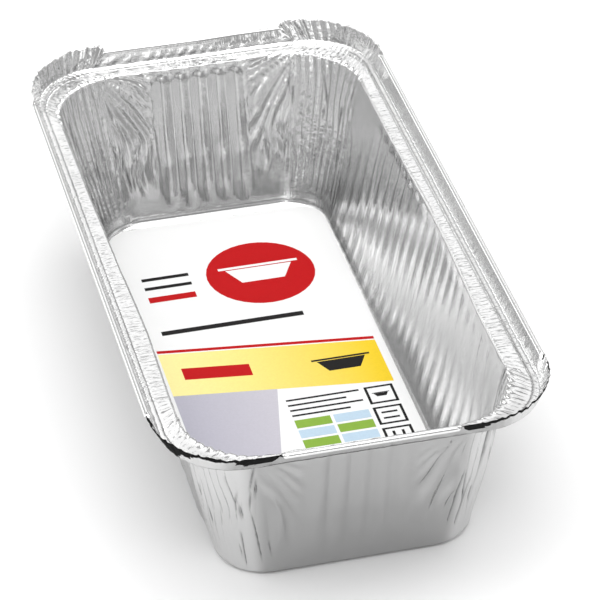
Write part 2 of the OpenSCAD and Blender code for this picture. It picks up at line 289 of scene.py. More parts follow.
# Share of the ledge's wrinkles on the flange, and the part of its height over which they fade along the
# sides
FLANGE_WRINKLED = 0.8
WRINKLES_END = (0.1, 0.45)
# Roughness of the bright skin with the scale of its noise, and what the dull skin adds
BRIGHT_ROUGH = (0.05, 0.13)
ROUGH_SCALE = 90.0
DULL_ROUGH = 0.14
# Drawn lines and the ledge's wrinkles: noise scales round the tray and along the section, for
# millimetres, and bump as (height in metres, strength)
DRAWN_SCALES = (1.5, 0.04)
DRAWN_BUMP = (0.00016, 0.8)
RADIAL_SCALES = (0.95, 0.4)
RADIAL_BUMP = (0.00035, 0.6)
# Strength of the drawn lines on the dull skin, and there where it is gathered
DRAWN_DULL = 0.4
DRAWN_GATHERED = 1.2
# Crumples: noise scale for metres, bump, and their share where the foil is smooth
CRUMPLED_SCALE = 480.0
CRUMPLED_BUMP = (0.00045, 0.28)
CRUMPLED_LEAST = 0.25
# Even grains as (noise scale for metres, detail, height in metres, strength): foil, paper, edge shade
SOFT_GRAIN = (160.0, 3.0, 0.0006, 0.12)
PAPER_GRAIN = (2600.0, 3.0, 0.00002, 0.3)
EDGE_GRAIN = (1800.0, 3.0, 0.00005, 0.5)
# Painted shade along the cut edge, and card: colour, roughness, specular level
EDGE_SHADE_FINISH = ((0.006, 0.006, 0.006), 0.7, 0.05)
CARD_FINISH = ((0.87, 0.87, 0.867), 0.6, 0.25)

# Camera: direction and roll in degrees, focal length in pixels of a 600-pixel frame, width of the
# sensor, and the place of the rim's middle in the camera's own axes, in millimetres
VIEW_AZ = 13.531
VIEW_EL = 34.173
VIEW_ROLL = -0.883
FOCAL_PX = 3489.17
FRAME_PX = 600
SENSOR_W = 36
RIM_RIGHT = -7.615
RIM_UP = 22.899
RIM_AWAY = 1009.755

# Surrounding: plain level, softness of the patches, and patches as (azimuth, elevation, half width,
# half height, strength)
SKY_LEVEL = 0.5
PATCH_SOFT = 3.0
SKY_PATCHES = (
    (0, 90, 360, 26, 2.9),
    (58, 36, 22, 13, 2.0),
    (283, 30, 24, 15, 1.3),
    (235, 56, 66, 9, 1.8),
    (313, 5, 28, 9, 2.0),
    (13, 28, 22, 16, 1.0),
    (140, 27, 5, 12, 2.2),
    (192, 29, 5, 11, 2.2),
    (100, 28, 12, 12, 0.6),
    (328, 40, 18, 9, 0.6),
    (165, 52, 40, 10, 1.3),
    (194, 3, 24, 7, 1.2),
)
# Floor: half width in metres, colour, and roughness
FLOOR_HALF = 3.0
FLOOR_TINT = (0.95, 0.95, 0.95)
FLOOR_ROUGH = (0.8, 0.95)

# Inks: colour on the left and on the right side of the card, or one colour
INKS = {
    "print_lilac": ((0.47, 0.46, 0.53), (0.66, 0.63, 0.66)),
    "print_yellow": ((0.93, 0.83, 0.36), (0.86, 0.60, 0.03)),
    "print_red": ((0.50, 0.007, 0.009), None),
    "print_green": ((0.25, 0.42, 0.06), None),
    "print_blue": ((0.50, 0.64, 0.76), None),
    "print_dark": ((0.015, 0.014, 0.014), None),
}
# Distance from the card's middle, in metres, at which a side's colour is full; specks; roughness and
# specular level
INK_SPAN = 0.03
INK_SPECKS = (0.94, 1.06)
INK_FINISH = (0.6, 0.1)


def uneven(i):
    """Uneven values between 0 and 1 that are the same every time."""
    x = np.sin(np.radians(np.asarray(i, float) * 78.233 + 12.99)) * 437.585
    return x - np.floor(x)


def smooth(x, low, high):
    """0 below low, 1 above high, and a smooth rise between them."""
    u = np.clip((x - low) / (high - low), 0, 1)
    return u * u * (3 - 2 * u)


class Noise:
    """Smooth seeded noise between -1 and 1 over a plane, with one value at each whole number."""

    SIDE = 64

    def __init__(self, seed):
        self.grid = np.random.RandomState(seed).uniform(-1, 1, (self.SIDE, self.SIDE))

    def __call__(self, x, y):
        x, y = np.broadcast_arrays(x, y)
        x0, y0 = np.floor(x), np.floor(y)
        fx, fy = x - x0, y - y0
        fx, fy = fx * fx * (3 - 2 * fx), fy * fy * (3 - 2 * fy)
        i, j = x0.astype(int) % self.SIDE, y0.astype(int) % self.SIDE
        i1, j1 = (i + 1) % self.SIDE, (j + 1) % self.SIDE
        low = self.grid[i, j] * (1 - fx) + self.grid[i1, j] * fx
        high = self.grid[i, j1] * (1 - fx) + self.grid[i1, j1] * fx
        return low * (1 - fy) + high * fy


def fold_height(i, row, seed):
    """Height of a fold's edge: in and out by turns, each of a size of its own."""
    return np.where(i % 2 == 0, -1, 1) * (0.3 + 0.7 * uneven(7.3 * i + 31.7 * row + seed))


def folds(x, level, seed):
    """Straight-flanked folds across x, whose sizes change along the levels: between -1 and 1."""
    x, level = np.broadcast_arrays(x, level)
    i, row = np.floor(x), np.floor(level)
    part, up = x - i, smooth(level - row, 0, 1)
    low = fold_height(i, row, seed) * (1 - part) + fold_height(i + 1, row, seed) * part
    high = fold_height(i, row + 1, seed) * (1 - part) + fold_height(i + 1, row + 1, seed) * part
    return low * (1 - up) + high * up


def section_rings():
    """Rings below the flange, from the floor panel's edge outwards: inset, height, corner radius."""
    ring_inset = FOOT_INSET + FILLET
    panel_inset = ring_inset + FOOT_RING_W
    rows = [
        (panel_inset + PANEL_SLOPE, PANEL_RISE + MID_Z, FOOT_R - PANEL_TIGHTER[0]),
        (panel_inset, MID_Z, FOOT_R - PANEL_TIGHTER[1]),
        (ring_inset, MID_Z, FOOT_R - FILLET),
    ]
    for i in range(1, FILLET_RINGS + 1):
        a = math.pi / 2 * i / FILLET_RINGS
        z = MID_Z + (FLUTE_LOW_Z - MID_Z) * (1 - math.cos(a))
        rows.append((ring_inset - FILLET * math.sin(a), z, FOOT_R - FILLET * (1 - i / FILLET_RINGS)))
    wall_top = SEAT_Z - SHOULDER
    for i in range(1, WALL_RINGS + 1):
        u = 1 - (1 - i / WALL_RINGS) ** WALL_CROWDING
        z = FLUTE_LOW_Z + (wall_top - FLUTE_LOW_Z) * u
        rows.append((FOOT_INSET + (WALL_INSET - FOOT_INSET) * u, z, FOOT_R + (WALL_R - FOOT_R) * u))
    for i in range(1, SHOULDER_RINGS + 1):
        a = math.pi / 2 * i / SHOULDER_RINGS
        rows.append((WALL_INSET - SHOULDER * (1 - math.cos(a)), wall_top + SHOULDER * math.sin(a), WALL_R))
    for end, count in (
        ((CREASE_INSET, SEAT_Z, WALL_R - CREASE_TIGHTER[0]), SEAT_RINGS),
        ((CREASE_INSET - CREASE_RUN, LIP_Z, WALL_R - CREASE_TIGHTER[1]), LIP_RINGS),
        ((FLANGE_INSET, LIP_Z, FLANGE_R), LIP_RINGS),
    ):
        start = rows[-1]
        for i in range(1, count + 1):
            rows.append(tuple(a + (b - a) * i / count for a, b in zip(start, end)))
    return np.array(rows)


def side_columns(kind):
    """Columns of one side: (place where it is fixed, share of the way from there to the corner's bend)."""
    count, pitch = FLUTES[kind]
    steps = count * FLUTE_COLUMNS[kind]
    fixed = [(i - steps / 2) * pitch / FLUTE_COLUMNS[kind] for i in range(steps + 1)]
    ease = [1 - (1 - i / EASE_COLUMNS[kind]) ** EASE_POWER for i in range(1, EASE_COLUMNS[kind])]
    edge = count * pitch / 2
    return [(-edge, -e) for e in reversed(ease)] + [(t, 0.0) for t in fixed] + [(edge, e) for e in ease]


def column_table():
    """For each column round the tray: side or corner 0 to 7, fixed place, share to the bend, turn."""
    rows = []
    for q in range(8):
        if q % 2:
            n = CORNER_FACETS * FACET_COLUMNS
            rows += [(q, 0.0, 0.0, i / n) for i in range(n + 1)]
        else:
            rows += [(q, t, e, 0.0) for t, e in side_columns("long" if q % 4 == 0 else "short")]
    return np.array(rows)


def rolled(s, w):
    """Inset and height of the strip at share s of its length, where the bead is rolled by share w."""
    w = np.maximum(w, LEAST_ROLL)
    tilt = (1 - w) * FLANGE_TILT
    turned = tilt + s * w * ROLL_ANGLE
    radius = (w * ROLL_L + (1 - w) * SPARE_L) / (w * ROLL_ANGLE)
    start = w * STRIP_INSET + (1 - w) * SPARE_INSET
    inset = start - radius * (np.cos(tilt) - np.cos(turned))
    return inset, BEAD_Z + radius * (np.sin(turned) - np.sin(tilt))


class Sheet:
    """The sheet's middle surface as a grid of points, rings by columns, in millimetres."""

    def __init__(self, half_w, half_l):
        self.half = {"across": (half_w, half_l), "along": (half_l, half_w)}
        self.section = section_rings()
        self.columns = column_table()
        self.q = self.columns[:, 0].astype(int)
        self.corner = self.q % 2 == 1
        self.n_low = len(self.section)
        self.n_rings = self.n_low + FLANGE_RINGS + ROLL_RINGS
        self.ring = np.arange(self.n_rings)[:, None]
        self.seat_start = self.n_low - 2 * LIP_RINGS - SEAT_RINGS
        self.flange_share = np.clip((self.ring - self.n_low + 1) / (FLANGE_RINGS + ROLL_RINGS), 0, 1)
        self.values()
        self.shift_insets()
        self.place()

    def values(self):
        """Inset, height, radius and reach of the bend for each ring and column."""
        shape = (self.n_rings, len(self.columns))
        self.inset, self.z, self.r = np.zeros(shape), np.zeros(shape), np.zeros(shape)
        for k, (inset, z, r) in enumerate(self.section):
            self.inset[k], self.z[k], self.r[k] = inset, z, r
        self.reach = self.inset + self.r
        q, fixed, ease, turn = self.columns.T
        front = ((q == 4) & (fixed > 0)) | ((q == 0) & (fixed < 0))
        near_end = front | np.isin(q, (5, 6, 7))
        lean = np.where(near_end, NEAR_LEAN, CORNER_LEAN)
        height = np.where(near_end, NEAR_H, CORNER_H)
        end_reach = FLANGE_INSET - lean + RIM_R
        half_side = np.where(self.q % 4 == 0, *self.half["along"])
        gap = (1 - np.abs(ease)) * (half_side - end_reach - np.abs(fixed))
        w = np.where(q == 6, smooth(gap, *NEAR_UNROLL), smooth(gap, *UNROLL))
        self.open_end = ((q == 6) & (w < OPEN_BELOW["near"])) | (front & (w < OPEN_BELOW["long"]))
        calm = np.where(np.isin(q, NEAR_CORNERS), NEAR_RAGGED, 1)
        first = FLANGE_INSET + FLANGE_R
        for j in range(1, FLANGE_RINGS + ROLL_RINGS + 1):
            k = self.n_low - 1 + j
            share = j / (FLANGE_RINGS + ROLL_RINGS)
            flat_inset = FLANGE_INSET - share * lean
            flat_z = LIP_Z + share * (SEAT_Z + height - LIP_Z)
            if j <= FLANGE_RINGS:
                u = j / FLANGE_RINGS
                side_inset = FLANGE_INSET + (STRIP_INSET - FLANGE_INSET) * u
                side_z = LIP_Z + (BEAD_Z - LIP_Z) * u
            else:
                side_inset, side_z = rolled((j - FLANGE_RINGS) / ROLL_RINGS, w)
            edge = RAGGED_H * share * ragged(q, turn) * calm
            self.inset[k] = np.where(self.corner, flat_inset, w * side_inset + (1 - w) * flat_inset)
            self.z[k] = np.where(self.corner, flat_z + edge, w * side_z + (1 - w) * flat_z)
            self.r[k] = FLANGE_R + share * (RIM_R - FLANGE_R)
            self.reach[k] = first + (end_reach - first) * share

    def shift_insets(self):
        """Wandering of the ledge's inner edge and of the crease, and the bow of the far rim."""
        fixed, turn = self.columns[:, 1], self.columns[:, 3]
        wall = smooth(self.z, WANDER_Z, SEAT_Z) * (self.ring < self.seat_start)
        seat = 1 - (self.ring - self.seat_start + 1) / (SEAT_RINGS + 1)
        keep = np.where(self.ring < self.seat_start, wall, np.clip(seat, 0, 1))
        for side, places in EDGE_WANDER.items():
            t, shift = zip(*places)
            here, after, before = (self.q == (side + step) % 8 for step in (0, 1, -1))
            at = np.where(here, fixed, np.where(after, t[-1], t[0]))
            fade = np.where(after, 1 - turn, np.where(before, turn, 1))
            shifts = np.interp(at, t, shift) * smooth(fade, 0, 1)
            self.inset -= np.where(here | after | before, shifts, 0) * keep
        t, shift = zip(*FAR_BOW)
        bow = np.interp(fixed, t, shift) * (self.q == 2)
        self.inset += bow * self.flange_share**BOW_RISE * BOW_SHARE

    def place(self):
        """Points before any flute, fold or dent, and their way from the middle of the nearest corner."""
        odd = self.q // 2 % 2
        across = np.where(odd == 0, *self.half["across"]) - self.inset
        half_side = np.where(odd == 0, *self.half["along"])
        along = half_side - self.inset
        fixed, ease, turn = self.columns[:, 1], self.columns[:, 2], self.columns[:, 3]
        sign = np.where((ease < 0) | ((ease == 0) & (fixed < 0)), -1, 1)
        bend = half_side - self.reach
        t = np.where(ease == 0, fixed, sign * (np.abs(fixed) + np.abs(ease) * (bend - np.abs(fixed))))
        angle = turn * math.pi / 2
        x = np.where(self.corner, across - self.r + self.r * np.cos(angle), across)
        y = np.where(self.corner, along - self.r + self.r * np.sin(angle), t)
        quarter = self.q // 2
        cos, sin = np.array([1, 0, -1, 0])[quarter], np.array([0, 1, 0, -1])[quarter]
        self.t = np.where(self.corner, 0, t)
        self.points = np.stack([x * cos - y * sin, x * sin + y * cos, self.z], axis=-1)
        arc = self.r * math.pi / 4
        self.off = np.where(self.corner, (2 * turn - 1) * arc, -sign * (arc + bend - np.abs(t)))
        self.near = np.where(self.corner, self.q, (self.q + sign) % 8)
        self.fold_at = self.off[MID_RING]

    def normals(self):
        """Unit normals of the grid, towards the inside of the tray."""
        sideways = np.roll(self.points, -1, axis=1) - np.roll(self.points, 1, axis=1)
        n = np.cross(np.gradient(self.points, axis=0), sideways)
        return n / np.maximum(np.linalg.norm(n, axis=-1, keepdims=True), 1e-9)

    def lengths(self):
        """Length round the tray at mid height and length along the section."""
        middle = self.points[MID_RING]
        steps = np.linalg.norm(np.roll(middle, -1, axis=0) - middle, axis=1)
        self.around = np.concatenate([[0], np.cumsum(steps)[:-1]])
        rises = np.linalg.norm(np.diff(self.points[:, LENGTH_COLUMN], axis=0), axis=1)
        self.along = np.concatenate([[0], np.cumsum(rises)])


def ragged(q, turn):
    """Height of the cut edge over its mean, as a share of its unevenness."""
    at = turn * CORNER_FACETS
    low = np.floor(at)
    part = at - low
    coarse = uneven(3 * low + 17 * q) * (1 - part) + uneven(3 * (low + 1) + 17 * q) * part - 0.5
    return coarse + 0.3 * folds(turn * 41 + 5 * q, 0.0, 3)


def flute_shares(kind, sheet, number):
    """Shares of the flutes' depth: stepped on short sides, less far back and high up on long ones."""
    if kind == "short":
        level = sheet.z + STEP_SPREAD * (uneven(4 * number + sheet.q) - 0.5)
        foot, middle, top = STEP_SHARES
        return (foot + middle * smooth(level, *SHORT_STEPS[0]) + top * smooth(level, *SHORT_STEPS[1]),)
    back = sheet.t * np.where(sheet.q == 0, 1, -1)
    calm = CALM_SHARE * smooth(sheet.z, *CALM_Z) * (1 - smooth(back, *CALM_FRONT))
    return 1 - FAINT_SHARE * smooth(back, *FAINT_FLUTES), 1 - calm


def flute_bulge(sheet):
    """How far the flutes stand out of the walls: each has a depth of its own."""
    out = np.zeros_like(sheet.z)
    for kind, remainder in (("long", 0), ("short", 2)):
        count, pitch = FLUTES[kind]
        half = count * pitch / 2
        inside = (sheet.q % 4 == remainder) & (np.abs(sheet.columns[:, 1]) <= half)
        number = np.floor(sheet.t / pitch + count / 2)
        wave = np.abs(np.sin(math.pi * (sheet.t / pitch + count / 2)))
        round_wave = (np.sqrt(wave**2 + CUSP**2) - CUSP) / (math.sqrt(1 + CUSP**2) - CUSP)
        own = 1 + OWN_DEPTH[kind] * (uneven(5 * number + sheet.q) - 0.5)
        end = 1 - smooth(np.abs(sheet.t), half - 0.3, half + 0.1)
        start = smooth(sheet.z, FLUTE_FADE[0], FLUTE_FADE[1] + LATE_START * uneven(9 * number + sheet.q))
        for share in flute_shares(kind, sheet, number):
            start = start * share
        top = 1 - (1 - FLUTE_KEPT[kind]) * smooth(sheet.z, *FLUTE_FADE[2:])
        out += np.where(inside, round_wave * own * end * start * top, 0)
    ledge = 1 - np.clip((sheet.ring - sheet.seat_start + 1) / 3, 0, 1)
    return FLUTE_DEPTH * out * np.where(sheet.ring < sheet.seat_start, 1, ledge)


def top_marks(sheet):
    """Wavy dents right under the ledge, where the flutes of the short sides end."""
    count, pitch = FLUTES["short"]
    half = count * pitch / 2
    inside = (sheet.q % 4 == 2) & (np.abs(sheet.t) <= half + 2)
    below, wave, half_h, depth = TOP_MARKS
    level = SEAT_Z - below + wave * np.sin(2 * math.pi * sheet.t / pitch + 0.8)
    marks = -depth * np.exp(-(((sheet.z - level) / half_h) ** 2))
    return marks * inside * (sheet.ring < sheet.seat_start)


def towards_short(sheet):
    """Where the short side is the one next to the point."""
    return np.where(sheet.corner, (sheet.off > 0) == (sheet.q % 4 == 1), sheet.q % 4 == 2)


def short_share(sheet):
    """0 on the long sides, 1 on the short sides and a smooth change round the corners, for each column."""
    turn = sheet.columns[:, 3]
    bend = np.where(sheet.q % 4 == 1, turn, 1 - turn)
    return np.where(sheet.corner, smooth(bend, 0, 1), sheet.q % 4 == 2)


def near_corner(sheet, ends):
    """1 in the corners and 0 on the sides, changing over the distances for long and short sides."""
    at = np.abs(sheet.fold_at)
    return np.where(towards_short(sheet), 1 - smooth(at, *ends["short"]), 1 - smooth(at, *ends["long"]))


def corner_pleats(sheet):
    """Close upright folds in the corners of the wall, deepest under the ledge."""
    z, at = sheet.z, sheet.fold_at
    drift = 0.8 * Noise(SEEDS["pleats"])(at / 9 + 5 * sheet.near, z / PLEAT_LENGTH[0])
    depth = 0
    for k, (start, seed) in enumerate(((40, 3.1), (90, 5.7))):
        pleats = folds(at / PLEAT_PITCH[k] + drift + start, z / PLEAT_LENGTH[k], seed * sheet.near)
        low, more = PLEAT_DEPTH[k]
        depth = depth + (low + more * smooth(z, *PLEAT_RISE[k])) * pleats
    depth = depth * near_corner(sheet, PLEAT_REACH) * smooth(z, *FOLDS_BEGIN)
    return depth * (sheet.ring < sheet.seat_start)


def creased_fans(sheet):
    """Creases that fan out from the top of each corner into the plain parts of the walls."""
    z, off = sheet.z, np.abs(sheet.off)
    right = off - FAN_START[0]
    down = FAN_START[1] - z
    way = np.hypot(right, down)
    angle = np.degrees(np.arctan2(right, down)) + 0.35 * way
    side = np.sign(sheet.off) * 7 + 11.3 * sheet.near
    drift = 1.2 * Noise(SEEDS["fans"])(angle / 14 + side, way / 12)
    wide, fine = (
        folds(angle * FAN_FOLDS * times + drift + start + side, way / length, seed * sheet.near)
        for times, length, start, seed in zip(FAN_TIMES, FAN_LENGTH, (30, 60), (2.3, 4.1))
    )
    start = smooth(right, -2, 4)
    plain = np.where(sheet.corner, 1, smooth(np.abs(sheet.columns[:, 2]), 0.02, 0.35))
    size = np.where(towards_short(sheet), FAN_DEPTH["short"], FAN_DEPTH["long"]) * plain * start
    size = size * np.clip(way / FAN_FULL, 0, 1) * smooth(z, *FAN_BEGIN)
    return size * (wide + 0.3 * fine * smooth(way, 14, 26)) * (sheet.ring < sheet.seat_start)


def sharp_creases(sheet):
    """Thin deep creases in the corners: how far they stand out, and a 0-to-1 mark on them for painted
    shade.
    """
    out, mark = np.zeros_like(sheet.z), np.zeros_like(sheet.z)
    chance = np.random.RandomState(SEEDS["creases"])
    for corner in (1, 3, 5, 7):
        creases = [crease[1:] for crease in LONG_CREASES if crease[0] == corner]
        for _ in range(SHORT_CREASES):
            low = chance.uniform(6, 38)
            length = chance.uniform(5, 14)
            creases.append((chance.uniform(-13, 13), low, low + length, chance.uniform(-0.25, 0.25)))
        for place, low, high, slant in creases:
            middle = place + slant * (sheet.z - (low + high) / 2)
            share = np.clip(1 - np.abs(sheet.fold_at - middle) / CREASE_HALF_W, 0, 1)
            share *= smooth(sheet.z, low - 1, low + 3) * (1 - smooth(sheet.z, high - 3, high + 1))
            share *= (sheet.near == corner) & (sheet.ring < sheet.seat_start)
            mark = np.maximum(mark, share)
            out += CREASE_DEPTH * share * (-1 if corner in NEAR_CORNERS else 1)
    return out, mark


def flange_folds(sheet):
    """Folds of the corner flanges, and slanted wrinkles at the root of the flange along the sides."""
    share, at = sheet.flange_share, sheet.fold_at
    bent = np.where(sheet.corner, np.clip(np.sin(math.pi * sheet.columns[:, 3]) * 6, 0, 1), 0)
    drift = 0.5 * Noise(SEEDS["flange"])(at / 4 + sheet.near, share * 2)
    wide = folds(at / FLANGE_PITCH[0] + drift + 20, share * 1.6, 1.7 * sheet.near)
    fine = folds(at / FLANGE_PITCH[1] + drift + 70, share * 2.2, 2.9 * sheet.near)
    calm = np.where(np.isin(sheet.q, NEAR_CORNERS), NEAR_CALM, 1)
    corner = (FLANGE_DEPTH[0] * wide + FLANGE_DEPTH[1] * fine) * (0.35 + 0.65 * share) * bent * calm
    root = 1 - smooth(share, 0.08, 0.4)
    pitch, depth = ROOT_WRINKLES
    slanted = folds((sheet.around + 8 * share) / pitch, share * 2, 9)
    side = depth * slanted * root * np.where(sheet.corner, 0, 1)
    return (corner + side) * (sheet.ring >= sheet.n_low)


def ledge_wrinkles(sheet):
    """Fine wrinkles across the ledge: close and radial in the corners, blotchy along the sides."""
    on = (sheet.ring >= sheet.seat_start - 2) & (sheet.ring < sheet.n_low)
    corner = 1 - smooth(np.abs(sheet.fold_at), *LEDGE_REACH)
    radial = folds(sheet.fold_at / LEDGE_PITCH + 50, sheet.ring / 2.7, 1.3 * sheet.near)
    wide, close = (Noise(seed) for seed in SEEDS["ledge"])
    blotches = wide(sheet.around / 2.3, sheet.ring / 1.9)
    blotches = blotches + 0.6 * close(sheet.around / 0.9, sheet.ring / 1.3)
    calm = np.where(np.isin(sheet.near, NEAR_CORNERS), NEAR_CALM, 1)
    return on * (LEDGE_DEPTH[0] * radial * corner * calm + LEDGE_DEPTH[1] * blotches)


def crumple(sheet):
    """Shallow dents and waves over the walls."""
    wide, close = (Noise(seed) for seed in SEEDS["dents"])
    dents = DENT_DEPTH[0] * wide(sheet.around / 23, sheet.z / 19 + 7)
    dents = dents + DENT_DEPTH[1] * close(sheet.around / 7, sheet.z / 9)
    return dents * smooth(sheet.z, *FOLDS_BEGIN) * (sheet.ring < sheet.seat_start)


def new_object(name, points, faces):
    """A mesh object of its points, in metres, and its faces."""
    mesh = bpy.data.meshes.new(name)
    mesh.from_pydata(points, [], faces)
    mesh.update()
    thing = bpy.data.objects.new(name, mesh)
    bpy.context.scene.collection.objects.link(thing)
    return thing


def build_tray(half_w, half_l, low, high):
    """The whole tray as one closed mesh with an inner and an outer skin, kept inside the solid's box."""
    sheet = Sheet(half_w, half_l)
    sheet.lengths()
    out = flute_bulge(sheet) + corner_pleats(sheet) + creased_fans(sheet) + flange_folds(sheet)
    creases, mark = sharp_creases(sheet)
    out += ledge_wrinkles(sheet) + crumple(sheet) + creases + top_marks(sheet)
    sheet.points = sheet.points - sheet.normals() * out[..., None]
    normals = sheet.normals()
    inner = sheet.points + normals * FOIL_T / 2
    outer = sheet.points - normals * FOIL_T / 2
    points = np.clip(np.concatenate([inner, outer[::-1]]), low, high)
    index = np.arange(points[..., 0].size).reshape(points.shape[:2])
    faces = [tuple(f) for f in split_cells(index, out).tolist()]
    faces.append(tuple(index[0].tolist()))
    faces.append(tuple(index[-1][::-1].tolist()))
    tray = new_object("foil_tray_sheet", (points.reshape(-1, 3) * MM).tolist(), faces)
    tray.data.shade_smooth()
    add_attributes(tray.data, sheet, mark)
    tray.data.materials.append(foil_material())
    tray.data.materials.append(edge_shade_material())
    darken_edge(tray.data, sheet)
    return tray


def split_cells(index, out):
    """Two triangles for each cell of the grid, split along the folds and alike in both skins."""
    falling = np.abs(out - np.roll(np.roll(out, -1, axis=0), -1, axis=1))
    rising = np.abs(np.roll(out, -1, axis=1) - np.roll(out, -1, axis=0))
    pick = (falling <= rising)[:-1]
    pick = np.concatenate([pick, np.ones((1, out.shape[1]), bool), ~pick[::-1]])[..., None]
    a, d = index[:-1], index[1:]
    b, c = np.roll(a, -1, axis=1), np.roll(d, -1, axis=1)
    first = np.where(pick, np.stack([a, c, b], axis=-1), np.stack([a, d, b], axis=-1))
    second = np.where(pick, np.stack([a, d, c], axis=-1), np.stack([b, d, c], axis=-1))
    return np.stack([first, second], axis=2).reshape(-1, 3)


def dark_bands(sheet):
    """First and last band below the cut edge that are dark, for each column."""
    q, turn = sheet.q, sheet.columns[:, 3]
    bands = np.zeros((len(q), 2), int)
    for side, ends in OPEN_END_BANDS.items():
        bands[sheet.open_end & (q == side)] = ends
    for corner, stretches in DARK_EDGE.items():
        for start, end, first, last in stretches:
            here = (q == corner) & (turn >= start) & (turn <= end)
            bands[here] = (first, last)
            wide = here & (uneven(np.floor(turn * EDGE_WIDER[0]) + 3 * corner) > EDGE_WIDER[1])
            bands[wide, 1] = last + 1
    return bands


def darken_edge(mesh, sheet):
    """The near-black material of painted shade on the dark bands of the cut edge."""
    slots = np.zeros((2 * sheet.n_rings - 1, len(sheet.q)), int)
    for k, (first, last) in enumerate(dark_bands(sheet)):
        slots[sheet.n_rings - 1 + first : sheet.n_rings - 1 + last, k] = 1
    mesh.polygons.foreach_set("material_index", np.concatenate([np.repeat(slots.ravel(), 2), [0, 0]]))


def above_panel(sheet):
    """0 on the floor panel and 1 from the rounding of the foot up."""
    return smooth(sheet.ring, PANEL_RINGS - 1, PANEL_RINGS + 2)


def end_tones(sheet):
    """Painted shade on stretches of the right wall near its two ends, with lighter streaks along the
    flutes.
    """
    (full, none), heights, share = FRONT_TONE
    place = np.where(sheet.q == 0, 1 - smooth(sheet.t, full, none), 0)
    place = np.where(sheet.q == 7, smooth(sheet.columns[:, 3], 0.2, 1), place)
    total = share * place * (1 - smooth(sheet.z, *heights))
    (start, first, last, end), heights, share = BACK_TONE
    place = smooth(sheet.t, start, first) * (1 - smooth(sheet.t, last, end)) * (sheet.q == 0)
    total = total + share * place * (1 - smooth(sheet.z, *heights))
    brighter, power = STREAK
    streak = np.abs(np.sin(math.pi * sheet.t / FLUTES["long"][1])) ** power * (sheet.q == 0)
    return total * (1 - brighter * streak) * above_panel(sheet)


def pressed_tone(sheet, short):
    """Painted shade on the inner skin: at its foot, at the ends of the right wall and in steps on the short
    sides.
    """
    pitch = FLUTES["long"][1]
    least, spread = LONG_SCALLOP
    number = np.floor(sheet.t / pitch)
    scallop = (least + spread * uneven(7 * number + 3)) * np.abs(np.sin(math.pi * sheet.t / pitch))
    more = PAINTED_SHADE_MORE[0] * (1 - smooth(sheet.t * np.where(sheet.q == 0, 1, -1), *PAINTED_SHADE_MORE[1:]))
    level = sheet.z + (scallop - more) * (sheet.q % 4 == 0)
    pressed = (1 - smooth(level, *PAINTED_SHADE)) * above_panel(sheet) * (1 - PAINTED_SHADE_LESS * short)
    pressed = np.clip(pressed + end_tones(sheet), 0, 1)
    scallop = SHORT_SCALLOP * np.abs(np.sin(math.pi * (sheet.t / FLUTES["short"][1] + 0.5)))
    for height, share in SHORT_TONES:
        pressed += share * (1 - smooth(sheet.z + scallop, height, height + 1)) * short * above_panel(sheet)
    return pressed


def painted_crease_shade(sheet, creases, short):
    """Painted shade: the sharp creases, the line of the ledge's crease and the ledge of the short sides."""
    line = (sheet.ring >= sheet.n_low - 2 * LIP_RINGS) & (sheet.ring < sheet.n_low - LIP_RINGS)
    seat = (sheet.ring > sheet.seat_start) & (sheet.ring < sheet.n_low - 2 * LIP_RINGS)
    tone = line * (SEAT_LINE + (SEAT_SHORT - SEAT_LINE) * short) + seat * SEAT_SHORT * short
    return np.maximum(creases, tone)


def ledge_mark(sheet):
    """Where the foil is wrinkled like the ledge: also the corner flanges and the flange's root."""
    side_share = FLANGE_WRINKLED * (1 - smooth(sheet.flange_share, *WRINKLES_END))
    flange = np.where(sheet.corner, FLANGE_WRINKLED, side_share)
    return np.where(sheet.ring < sheet.n_low, 1.0, flange) * (sheet.ring >= sheet.seat_start - 1)


def add_attributes(mesh, sheet, creases):
    """What the foil's material reads at each point, alike on both skins, and which skin it is."""
    short = short_share(sheet)
    marks = {
        "around": sheet.around,
        "along": sheet.along[:, None],
        "ledge": ledge_mark(sheet),
        "gathered": near_corner(sheet, GATHERED),
        "creased": painted_crease_shade(sheet, creases, short),
        "pressed": pressed_tone(sheet, short),
        "brushed": 1 - BRUSHED_LESS * short,
    }
    for name, values in marks.items():
        skin = np.broadcast_to(values, sheet.z.shape)
        both = np.concatenate([skin, skin[::-1]]).astype(np.float32)
        mesh.attributes.new(name, "FLOAT", "POINT").data.foreach_set("value", both.ravel())
    dull = np.repeat([0.0, 1.0], sheet.z.size).astype(np.float32)
    mesh.attributes.new("dull", "FLOAT", "POINT").data.foreach_set("value", dull)


